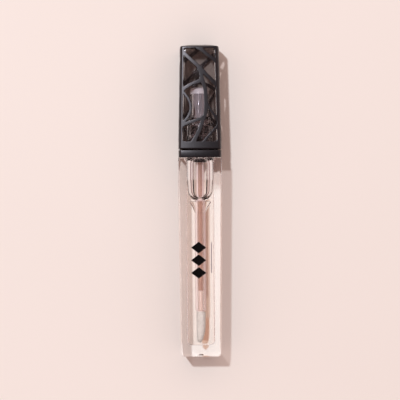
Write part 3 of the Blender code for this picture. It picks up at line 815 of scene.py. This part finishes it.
def build_inner_cap():
    """The smoked inner cap: a square flange, a threaded skirt and a closed tower whose pale hazy roof is a
    painted highlight.
    """
    lets = (0.85, 0.84, 0.84)
    mats = [
        clear("smoked_san", (0.90, 0.89, 0.90), SAN_IOR, (0.01, 0.04), lets),
        # Painted highlight: the roof is pale and hazy, so the tower's end shows bright.
        clear("san_roof_painted_highlight", (0.97, 0.97, 0.98), SAN_IOR, (0.10, 0.18), lets, haze=(0.12, 0.3)),
    ]
    ROOF = 1
    low, high = CAP_BOTTOM + 0.3, FLANGE_TOP
    shoulder, seat = STEM_TOP + 2.4, STEM_TOP + 0.03
    flange_corner, flange_edge = 1.0, 0.15
    clearance = 0.05
    outside = [
        (SKIRT_R + 0.5, high), (SKIRT_R + 0.12, high + 0.1), (SKIRT_R, high + 0.45), (SKIRT_R - 0.1, 91.4),
        (5.08, 91.9), (4.92, 92.5), (4.88, shoulder - 0.6), (4.75, shoulder - 0.25), (4.35, shoulder - 0.02),
        (TOWER_R + 0.12, shoulder + 0.12), (TOWER_R, shoulder + 0.4), (TOWER_R, TOWER_TOP - 3.3),
        (TOWER_R - 0.1, PLUG_TOP), (TOWER_R - 0.33, TOWER_TOP - 0.95), (TOWER_R - 0.6, TOWER_TOP - 0.45),
        (TOWER_R - 1.3, TOWER_TOP - 0.12), (2.0, TOWER_TOP - 0.03), (0.6, TOWER_TOP),
    ]
    inside = [
        (INNER_BORE_R, low + 0.1), (INNER_BORE_R, seat - 0.8), (PLUG_FLANGE_R + 0.08, seat - 0.1),
        (PLUG_FLANGE_R + 0.08, seat + 1.2), (PLUG_R + 0.4, seat + 1.55), (PLUG_R + clearance, seat + 1.95),
        (PLUG_R + clearance, PLUG_TOP - 0.1), (PLUG_R - 0.2, PLUG_TOP + 0.15), (1.0, PLUG_TOP + 0.3),
    ]
    flange = [
        (FLANGE_HALF - flange_edge, high), (FLANGE_HALF, high - flange_edge),
        (FLANGE_HALF, low + flange_edge), (FLANGE_HALF - flange_edge, low),
    ]
    loops = [matched_round_loop(r, z) for r, z in outside[::-1]]
    loops += [square_loop(half, flange_corner, z) for half, z in flange]
    loops.append(matched_round_loop(INNER_BORE_R + 0.1, low))
    loops += [matched_round_loop(r, z) for r, z in inside]
    cap = loft("inner_cap_clear", loops, mats, angle=MOULDED_SHARP)
    boolean(cap, thread_rib(INNER_BORE_R, INNER_CREST_R, THREAD_START + THREAD_PITCH / 2, 1.5), "UNION")
    cap.data.shade_smooth()
    cap.data.set_sharp_from_angle(angle=math.radians(MOULDED_SHARP))
    # The painted highlight covers every face above the plug's top.
    for polygon in cap.data.polygons:
        if polygon.center.z > PLUG_TOP * MM:
            polygon.material_index = ROOF
    return place(cap, CAP_BODY, "smoked_san", "inner_cap")


def build_sleeve():
    """The smoked sleeve that lines the lattice, closed at the top. Its smoke tint is partly painted shade,
    which darkens the inside of the cap.
    """
    wall_lets = [
        ("smoked_sleeve", (0.95, 0.95, 0.95)), ("smoked_sleeve_side", (0.78, 0.72, 0.70)),
        ("smoked_sleeve_back", (0.74, 0.69, 0.67)),
    ]
    mats = [
        clear(name, SLEEVE_TINT, SLEEVE_IOR, (0.01, 0.03), lets, ripple_mm=0.004) for name, lets in wall_lets
    ]
    SIDE, BACK = 1, 2
    low = FLANGE_TOP + SLEEVE_GAP
    half_low = SHOULDER_HALF - CAP_WALL - SLEEVE_GAP
    half_high = CAP_TOP_HALF - CAP_WALL - SLEEVE_GAP
    corner, wall, bevel, round_r = SLEEVE_CORNER_R, SLEEVE_WALL, 0.06, 0.3
    outer = [square_loop(half_low - bevel, corner - bevel, low), square_loop(half_low, corner, low + bevel)]
    outer.append(square_loop(half_high, corner, SLEEVE_TOP - round_r))
    for x, z in arc(half_high - round_r, SLEEVE_TOP - round_r, round_r, 30, 90, 3):
        outer.append(square_loop(x, corner - 0.25, z))
    inner = [
        square_loop(half_low - wall, corner - wall, low),
        square_loop(half_high - wall, corner - wall, SLEEVE_TOP - wall - 0.25),
        square_loop(half_high - wall - 0.15, corner - wall, SLEEVE_TOP - wall - 0.1),
    ]
    sleeve = loft("smoked_sleeve_clear", outer[::-1] + inner, mats, angle=35.0)
    for polygon in sleeve.data.polygons:
        if abs(polygon.normal.y) < SIDE_LIMIT:
            polygon.material_index = SIDE
        elif polygon.center.y > 0:
            polygon.material_index = BACK
    return place(sleeve, CAP_BODY, "smoked_sleeve", "smoked_sleeve")


def wall_prism(outline):
    """A prism through the front wall, from its (sideways, height) outline."""
    in_front, depth = -9.6, 4.0
    bm = bmesh.new()
    face = bm.faces.new([bm.verts.new((x, in_front, z)) for x, z in outline])
    extruded = bmesh.ops.extrude_face_region(bm, geom=[face])["geom"]
    moved = [v for v in extruded if isinstance(v, bmesh.types.BMVert)]
    bmesh.ops.translate(bm, vec=(0, depth, 0), verts=moved)
    return finish_mesh("prism", bm, [])


def bar_outline(width, knots):
    """The outline of a lattice bar, a little wider where it meets the frame."""
    line = smooth_line(knots)
    left, right = [], []
    for i, p in enumerate(line):
        along = (line[min(i + 1, len(line) - 1)] - line[max(i - 1, 0)]).normalized()
        side = Vector((-along.y, along.x))
        end = min((p - line[0]).length, (line[-1] - p).length)
        half = (width + BAR_GROWTH) / 2 * (1 + FLARE * math.exp(-((end / FLARE_LENGTH) ** 2)))
        left.append(p + side * half)
        right.append(p - side * half)
    return [tuple(p) for p in right + left[::-1]]


def window_outline(steps=6):
    """The outline of one window, a trapezium with round corners."""
    outline = []
    corners = [
        (LATTICE_HALF_HIGH, LATTICE_TOP, 0), (-LATTICE_HALF_HIGH, LATTICE_TOP, 90),
        (-LATTICE_HALF_LOW, LATTICE_BOTTOM, 180), (LATTICE_HALF_LOW, LATTICE_BOTTOM, 270),
    ]
    for x, z, start in corners:
        cx = x - math.copysign(WINDOW_CORNER_R, x)
        cz = z - (WINDOW_CORNER_R if start < 180 else -WINDOW_CORNER_R)
        outline += arc(cx, cz, WINDOW_CORNER_R, start, start + 90, steps)
    return outline


def satin_charcoal():
    """Satin moulded plastic: charcoal with a fine spark-eroded skin, and a painted highlight that makes its
    sharp edges paler.
    """
    mat, tree, shader = new_material("charcoal_satin")
    drift = object_noise(tree, 240.0, 4.0, 0.6)
    base = ramp(tree, drift, [(0.3, CHARCOAL[0]), (0.7, CHARCOAL[1])])
    # Painted highlight: where the surface is sharply convex, its colour is mixed towards a pale bluish grey.
    geometry = tree.nodes.new("ShaderNodeNewGeometry")
    edge_highlight = mapped(tree, geometry.outputs["Pointiness"], 0.0, 0.55, 0.52, 0.6)
    mix = tree.nodes.new("ShaderNodeMix")
    mix.data_type = "RGBA"
    tree.links.new(edge_highlight, mix.inputs["Factor"])
    tree.links.new(base, mix.inputs["A"])
    mix.inputs["B"].default_value = (0.03, 0.03, 0.036, 1.0)
    tree.links.new(mix.outputs["Result"], shader.inputs["Base Color"])
    skin = object_noise(tree, 11000.0, 2.0)
    tree.links.new(mapped(tree, skin, 0.25, 0.32), shader.inputs["Roughness"])
    shader.inputs["Specular IOR Level"].default_value = 0.48
    add_bump(tree, shader, skin, 0.004 * MM)
    return mat


def build_cap_shell():
    """The over-cap: a tapering square shell with a shallow crown, and a window of bars cut in each side."""
    edge, top_r = 0.3, 0.42
    sides_high = CAP_CORNER_TOP - 0.45 - CAP_BOTTOM - edge
    outer = []
    for x, z in arc(SHOULDER_HALF - edge, CAP_BOTTOM + edge, edge, -90, 0, 5):
        outer.append(square_loop(x, CORNER_R, z, SIDE_BOW))
    for i in range(1, 9):
        t = i / 9
        half = SHOULDER_HALF + (CAP_TOP_HALF - SHOULDER_HALF) * t
        outer.append(square_loop(half, CORNER_R, CAP_BOTTOM + edge + sides_high * t, SIDE_BOW))
    for x, z in arc(CAP_TOP_HALF - top_r, CAP_CORNER_TOP - 0.40, top_r, 0, 66, 6):
        outer.append(square_loop(x, CORNER_R - 0.5 * (CAP_TOP_HALF - x), z, SIDE_BOW))
    crown_low = CAP_CORNER_TOP - 0.02
    for i in range(1, 9):
        t = i / 8
        half = (CAP_TOP_HALF - 0.27) * (1 - t) + 0.5 * t
        z = crown_low + (CAP_CROWN - crown_low) * (1 - (1 - t) ** 2.2)
        outer.append(square_loop(half, min(CORNER_R, 0.28 * half + 0.1), z, SIDE_BOW * (1 - t) ** 2))
    inner_corner = 1.0
    inner = [
        square_loop(SHOULDER_HALF - CAP_WALL, inner_corner, CAP_BOTTOM),
        square_loop(SHOULDER_HALF - CAP_WALL, inner_corner, LATTICE_BOTTOM),
        square_loop(CAP_TOP_HALF - CAP_WALL, inner_corner, LATTICE_TOP + 0.1),
        square_loop(0.9, 0.4, CAP_CROWN - 1.5),
    ]
    shell = loft("cap_shell_lattice", outer[::-1] + inner, [])
    for quarter in range(4):
        window = wall_prism(window_outline())
        for width, knots in BARS.values():
            boolean(window, wall_prism(bar_outline(width, knots)), "DIFFERENCE")
        window.rotation_euler.z = math.radians(90 * quarter)
        bpy.context.view_layer.update()
        boolean(shell, window, "DIFFERENCE")
    soften_edges(shell, 0.1)
    shell.data.materials.clear()
    shell.data.materials.append(satin_charcoal())
    shell.data.shade_smooth()
    return place(shell, CAP_BODY, "charcoal_satin", "cap_shell")


def soften_edges(obj, voxel_mm):
    """Remesh to small voxels and relax, which rounds every edge and fills the crooks between bars."""
    remesh = obj.modifiers.new("Remesh", "REMESH")
    remesh.mode = "VOXEL"
    remesh.voxel_size = voxel_mm * MM
    relax = obj.modifiers.new("Relax", "SMOOTH")
    relax.factor = 0.5
    relax.iterations = 2
    bake_modifiers(obj)


# ---------------------------------------------------------------- stage, light, camera

def build_stage():
    """The pale surface that the tube lies on. Only its face towards the tube shows."""
    mat, tree, shader = new_material("pale_surface")
    mottle = object_noise(tree, 9.0, 3.0)
    colour = ramp(tree, mottle, [(0.3, (0.785, 0.815, 0.731)), (0.7, (0.797, 0.827, 0.742))])
    tree.links.new(colour, shader.inputs["Base Color"])
    shader.inputs["Roughness"].default_value = 0.8
    shader.inputs["Specular IOR Level"].default_value = 0.15
    through = tree.nodes.new("ShaderNodeBsdfTransparent")
    geometry = tree.nodes.new("ShaderNodeNewGeometry")
    mix = tree.nodes.new("ShaderNodeMixShader")
    tree.links.new(geometry.outputs["Backfacing"], mix.inputs["Fac"])
    tree.links.new(shader.outputs["BSDF"], mix.inputs[1])
    tree.links.new(through.outputs["BSDF"], mix.inputs[2])
    tree.links.new(mix.outputs["Shader"], tree.nodes["Material Output"].inputs["Surface"])
    gap, half = 0.0001, 3.0
    y = cad_box[1][1] + gap
    mesh = bpy.data.meshes.new("surface")
    corners = [(-half, y, -half), (half, y, -half), (half, y, half), (-half, y, half)]
    mesh.from_pydata(corners, [], [(0, 1, 2, 3)])
    mesh.materials.append(mat)
    surface = bpy.data.objects.new("surface", mesh)
    bpy.context.scene.collection.objects.link(surface)


def aim(obj, place_at, target):
    obj.location = place_at
    obj.rotation_euler = (Vector(target) - Vector(place_at)).to_track_quat("-Z", "Y").to_euler()


def add_area(name, direction, distance, size, power, colour, centre):
    light = bpy.data.lights.new(name, "AREA")
    light.shape = "DISK"
    light.size = size
    light.energy = power
    light.color = colour
    lamp = bpy.data.objects.new(name, light)
    bpy.context.scene.collection.objects.link(lamp)
    aim(lamp, Vector(centre) + Vector(direction).normalized() * distance, centre)
    lamp.visible_transmission = False


def build_light(centre):
    """One small key lamp in a peach-coloured room that is dim behind the camera."""
    add_area("key", KEY_DIRECTION, KEY_DISTANCE, KEY_SIZE, KEY_WATTS, KEY_COLOUR, centre)
    world = bpy.data.worlds.new("soft_room")
    world.use_nodes = True
    tree = world.node_tree
    coords = tree.nodes.new("ShaderNodeTexCoord")
    axes = tree.nodes.new("ShaderNodeSeparateXYZ")
    tree.links.new(coords.outputs["Generated"], axes.inputs["Vector"])
    depth = mapped(tree, axes.outputs["Y"], 0.0, 1.0, -1.0, 1.0)
    by_direction = ramp(tree, depth, [(at, (share,) * 3) for at, share in ROOM_LIGHT])
    across = mapped(tree, axes.outputs["X"], 0.95, 1.05, -1.0, 1.0)
    strength = tree.nodes.new("ShaderNodeMath")
    strength.operation = "MULTIPLY"
    tree.links.new(by_direction, strength.inputs[0])
    tree.links.new(across, strength.inputs[1])
    scaled = tree.nodes.new("ShaderNodeMath")
    scaled.operation = "MULTIPLY"
    scaled.inputs[1].default_value = ROOM_STRENGTH
    tree.links.new(strength.outputs["Value"], scaled.inputs[0])
    sky = tree.nodes["Background"]
    sky.inputs["Color"].default_value = ROOM_COLOUR
    tree.links.new(scaled.outputs["Value"], sky.inputs["Strength"])
    bpy.context.scene.world = world


def build_camera(centre):
    data = bpy.data.cameras.new("camera")
    data.sensor_width = SENSOR
    data.lens = SENSOR * CAMERA_DISTANCE / CAMERA_FIELD
    data.clip_end = 10.0
    camera = bpy.data.objects.new("camera", data)
    bpy.context.scene.collection.objects.link(camera)
    camera.location = (centre[0], -CAMERA_DISTANCE, centre[2])
    camera.rotation_euler = (math.radians(90), math.radians(CAMERA_ROLL), 0)
    bpy.context.scene.camera = camera


def main():
    bpy.context.scene.view_settings.view_transform = "Standard"
    build_bottle()
    build_gloss()
    build_print()
    build_collar()
    build_wiper()
    build_seal()
    build_plug()
    build_stem()
    build_tip()
    build_inner_cap()
    build_sleeve()
    build_cap_shell()
    build_stage()
    low, high = cad_box
    middle_z = (low[2] + high[2]) / 2
    build_light(((low[0] + high[0]) / 2, 0.0, middle_z))
    build_camera((CAMERA_SHIFT[0], 0.0, middle_z + CAMERA_SHIFT[1]))


main()
